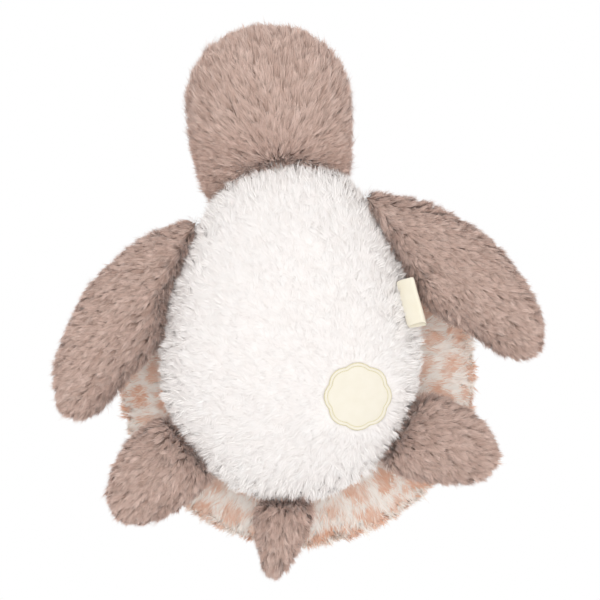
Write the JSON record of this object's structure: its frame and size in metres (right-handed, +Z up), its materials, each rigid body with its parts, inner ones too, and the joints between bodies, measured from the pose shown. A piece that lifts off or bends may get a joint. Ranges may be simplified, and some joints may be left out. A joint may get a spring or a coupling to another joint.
{
  "type": "plush turtle",
  "caption": "Stuffed plush turtle lying on its belly: a round shell, a soft egg-shaped belly with a scalloped patch, hinged head, flippers, feet and tail.",
  "frame": {"origin": "middle of the belly, on the surface that the toy rests on", "axes": "+Z up from the belly to the shell, -Y towards the head, +X towards the turtle's own left"},
  "size_m": [0.3096, 0.3548, 0.116],
  "materials": {
    "brown_plush": "long pile plush",
    "white_plush": "short pile plush",
    "mottled_fur": "mottled short faux fur",
    "brown_cloth": "knitted cloth",
    "fibre_fill": "polyester stuffing",
    "cream_cloth": "woven cloth",
    "yellow_thread": "embroidery thread",
    "cream_satin": "satin ribbon",
    "dark_plastic": "glossy",
    "clear_plastic": "plain"
  },
  "bodies": {
    "body": {"belly_panel": "white_plush", "side_band": "brown_plush", "back_panel": "brown_cloth", "body_stuffing": "fibre_fill", "shell_top_panel": "mottled_fur", "shell_under_panel": "mottled_fur", "shell_stuffing": "fibre_fill", "name_patch": "cream_cloth", "patch_stitching": "yellow_thread"},
    "head": {"head_top_panel": "brown_plush", "head_under_panel": "brown_plush", "head_stuffing": "fibre_fill", "eye_left": "dark_plastic", "eye_right": "dark_plastic", "eye_washer_left": "clear_plastic", "eye_washer_right": "clear_plastic"},
    "flipper_left": {"flipper_left_top_panel": "brown_plush", "flipper_left_under_panel": "brown_plush", "flipper_left_stuffing": "fibre_fill"},
    "flipper_right": {"flipper_right_top_panel": "brown_plush", "flipper_right_under_panel": "brown_plush", "flipper_right_stuffing": "fibre_fill"},
    "hind_foot_left": {"hind_foot_left_top_panel": "brown_plush", "hind_foot_left_under_panel": "brown_plush", "hind_foot_left_stuffing": "fibre_fill"},
    "hind_foot_right": {"hind_foot_right_top_panel": "brown_plush", "hind_foot_right_under_panel": "brown_plush", "hind_foot_right_stuffing": "fibre_fill"},
    "tail": {"tail_top_panel": "brown_plush", "tail_under_panel": "brown_plush", "tail_stuffing": "fibre_fill"},
    "ribbon_label": {"ribbon_label": "cream_satin"}
  },
  "joints": [
    {"name": "head_nod", "type": "hinge", "parent": "body", "child": "head", "pos_m": [-0.008, -0.0915, 0.025], "axis": [1, 0, 0], "range_deg": [-6, 25], "stiffness_Nm_per_rad": 1},
    {"name": "flipper_left_lift", "type": "hinge", "parent": "body", "child": "flipper_left", "pos_m": [0.05923, -0.07424, 0.025], "axis": [0.5177, 0.8556, 0], "range_deg": [-25, 12], "stiffness_Nm_per_rad": 0.4},
    {"name": "flipper_right_lift", "type": "hinge", "parent": "body", "child": "flipper_right", "pos_m": [-0.06803, -0.0564, 0.025], "axis": [0.3735, -0.9276, 0], "range_deg": [-25, 12], "stiffness_Nm_per_rad": 0.4},
    {"name": "hind_foot_left_lift", "type": "hinge", "parent": "body", "child": "hind_foot_left", "pos_m": [0.07046, 0.05596, 0.025], "axis": [-0.4819, 0.8762, 0], "range_deg": [-15, 30], "stiffness_Nm_per_rad": 0.15},
    {"name": "hind_foot_right_lift", "type": "hinge", "parent": "body", "child": "hind_foot_right", "pos_m": [-0.06487, 0.06456, 0.025], "axis": [-0.6043, -0.7968, 0], "range_deg": [-15, 30], "stiffness_Nm_per_rad": 0.15},
    {"name": "tail_lift", "type": "hinge", "parent": "body", "child": "tail", "pos_m": [-0.0024, 0.09986, 0.025], "axis": [-1, 0.0058, 0], "range_deg": [-15, 30], "stiffness_Nm_per_rad": 0.06},
    {"name": "ribbon_fold", "type": "hinge", "parent": "body", "child": "ribbon_label", "pos_m": [0.07264, -0.02605, 0.015], "axis": [0.2501, 0.9682, 0], "range_deg": [0, 25], "stiffness_Nm_per_rad": 0.002}
  ]
}
